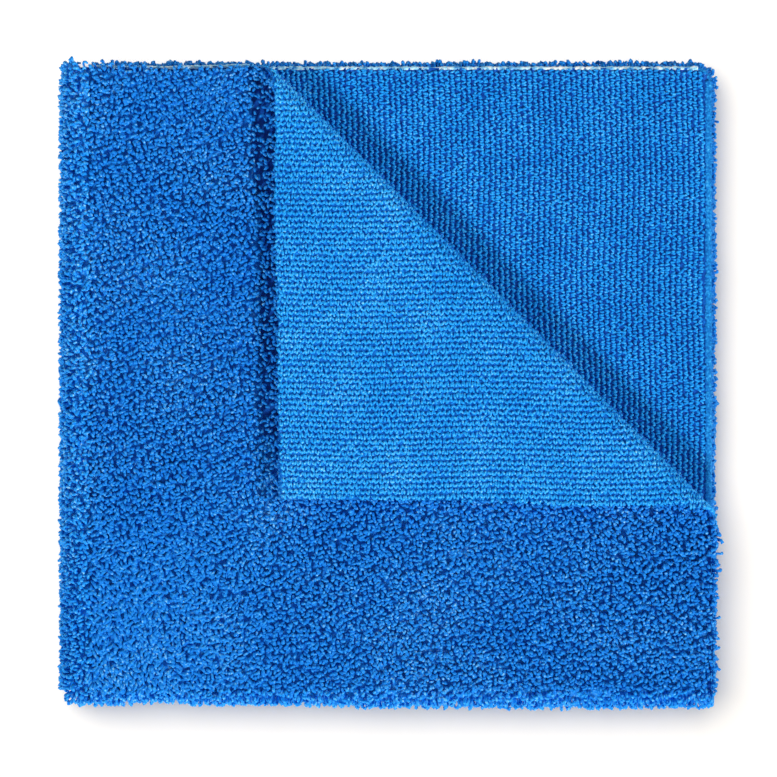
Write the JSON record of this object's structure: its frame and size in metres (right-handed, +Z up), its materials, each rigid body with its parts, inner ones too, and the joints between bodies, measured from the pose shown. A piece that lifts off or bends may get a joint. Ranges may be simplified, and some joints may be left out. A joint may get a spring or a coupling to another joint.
{
  "type": "buffing towel",
  "caption": "Folded square plush microfibre buffing towel, long pile outside and short ribbed pile inside, one corner turned back; opens at the side fold and the crease.",
  "frame": {"origin": "centre of the folded towel's bounding box, on the surface it lies on", "axes": "+Z up out of the stack, +X from the side fold towards the side cut edges, +Y from the front fold towards the back cut edges"},
  "size_m": [0.206, 0.202, 0.0238],
  "materials": {
    "long_pile": "matte curly plush pile",
    "short_pile": "matte short ribbed pile",
    "ground_knit": "matte fine knit",
    "sealed_edge": "slightly glossy fused fibre"
  },
  "bodies": {
    "lower_half": {"base_ground_knit": "ground_knit", "base_long_pile": "long_pile", "base_short_pile": "short_pile", "third_ground_knit": "ground_knit", "third_long_pile": "long_pile", "third_short_pile": "short_pile", "lower_front_fold_knit": "ground_knit", "lower_front_fold_long_pile": "long_pile", "lower_front_fold_short_pile": "short_pile", "lower_side_fold_knit": "ground_knit", "lower_side_fold_long_pile": "long_pile", "lower_side_fold_short_pile": "short_pile", "lower_sealed_edge": "sealed_edge"},
    "upper_half": {"second_ground_knit": "ground_knit", "second_long_pile": "long_pile", "second_short_pile": "short_pile", "top_ground_knit": "ground_knit", "top_long_pile": "long_pile", "top_short_pile": "short_pile", "upper_front_fold_knit": "ground_knit", "upper_front_fold_long_pile": "long_pile", "upper_front_fold_short_pile": "short_pile", "upper_side_fold_knit": "ground_knit", "upper_side_fold_long_pile": "long_pile", "upper_side_fold_short_pile": "short_pile", "crease_foot_knit": "ground_knit", "crease_foot_long_pile": "long_pile", "crease_foot_short_pile": "short_pile", "upper_side_sealed_edge": "sealed_edge", "upper_back_sealed_edge": "sealed_edge"},
    "turned_corner": {"flap_ground_knit": "ground_knit", "flap_long_pile": "long_pile", "flap_short_pile": "short_pile", "crease_head_knit": "ground_knit", "crease_head_long_pile": "long_pile", "crease_head_short_pile": "short_pile", "flap_sealed_edge": "sealed_edge"}
  },
  "joints": [
    {"name": "side_fold", "type": "hinge", "parent": "lower_half", "child": "upper_half", "pos_m": [-0.10318, 0, 0.0094], "axis": [0, -1, 0], "range_deg": [0, 180]},
    {"name": "corner_crease", "type": "hinge", "parent": "upper_half", "child": "turned_corner", "pos_m": [0.03189, 0.03189, 0.01915], "axis": [-0.7071, 0.7071, 0], "range_deg": [0, 180]}
  ]
}
